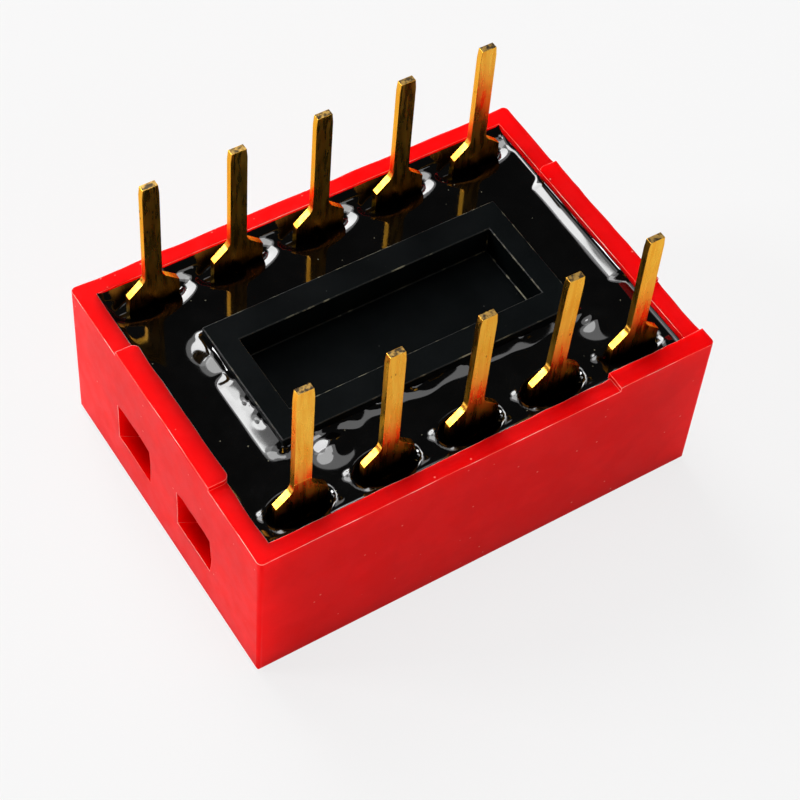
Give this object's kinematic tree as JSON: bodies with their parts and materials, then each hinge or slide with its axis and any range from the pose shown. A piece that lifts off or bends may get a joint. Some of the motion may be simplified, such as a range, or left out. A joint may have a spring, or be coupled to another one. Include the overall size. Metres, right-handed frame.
{
  "type": "dip switch",
  "caption": "Slide DIP switch with a red latched cover, a black base sealed with compound, and rows of through-hole terminals, lying on its marked face with its terminals up.",
  "frame": {"origin": "middle of the marked face, which lies on the surface under the switch", "axes": "+Z from the marked face to the terminal tips, +X along the switch positions, +Y across the rows from the on side to the off side"},
  "size_m": [0.0138, 0.01, 0.0093],
  "materials": {
    "cover_plastic": "glossy moulded red thermoplastic with fine flow marks",
    "base_plastic": "matt black moulded thermoplastic",
    "compound": "glossy black potting compound that has climbed the walls and is dished round the terminals",
    "terminal_metal": "stamped copper alloy with a worn gold-coloured flash and dark cut ends",
    "slider_plastic": "satin white moulded thermoplastic",
    "contact_metal": "gold-coloured spring strip, satin"
  },
  "bodies": {
    "housing": {"cover": "cover_plastic", "base": "base_plastic", "sealing_compound": "compound", "front_terminal_1": "terminal_metal", "front_terminal_2": "terminal_metal", "front_terminal_3": "terminal_metal", "front_terminal_4": "terminal_metal", "front_terminal_5": "terminal_metal", "rear_terminal_1": "terminal_metal", "rear_terminal_2": "terminal_metal", "rear_terminal_3": "terminal_metal", "rear_terminal_4": "terminal_metal", "rear_terminal_5": "terminal_metal"},
    "slide_1": {"slider_1": "slider_plastic", "bridge_contact_1": "contact_metal"},
    "slide_2": {"slider_2": "slider_plastic", "bridge_contact_2": "contact_metal"},
    "slide_3": {"slider_3": "slider_plastic", "bridge_contact_3": "contact_metal"},
    "slide_4": {"slider_4": "slider_plastic", "bridge_contact_4": "contact_metal"},
    "slide_5": {"slider_5": "slider_plastic", "bridge_contact_5": "contact_metal"}
  },
  "joints": [
    {"name": "switch_1", "type": "slide", "parent": "housing", "child": "slide_1", "axis": [0, -1, 0], "range_m": [0, 0.0014]},
    {"name": "switch_2", "type": "slide", "parent": "housing", "child": "slide_2", "axis": [0, -1, 0], "range_m": [0, 0.0014]},
    {"name": "switch_3", "type": "slide", "parent": "housing", "child": "slide_3", "axis": [0, -1, 0], "range_m": [0, 0.0014]},
    {"name": "switch_4", "type": "slide", "parent": "housing", "child": "slide_4", "axis": [0, -1, 0], "range_m": [0, 0.0014]},
    {"name": "switch_5", "type": "slide", "parent": "housing", "child": "slide_5", "axis": [0, -1, 0], "range_m": [0, 0.0014]}
  ]
}
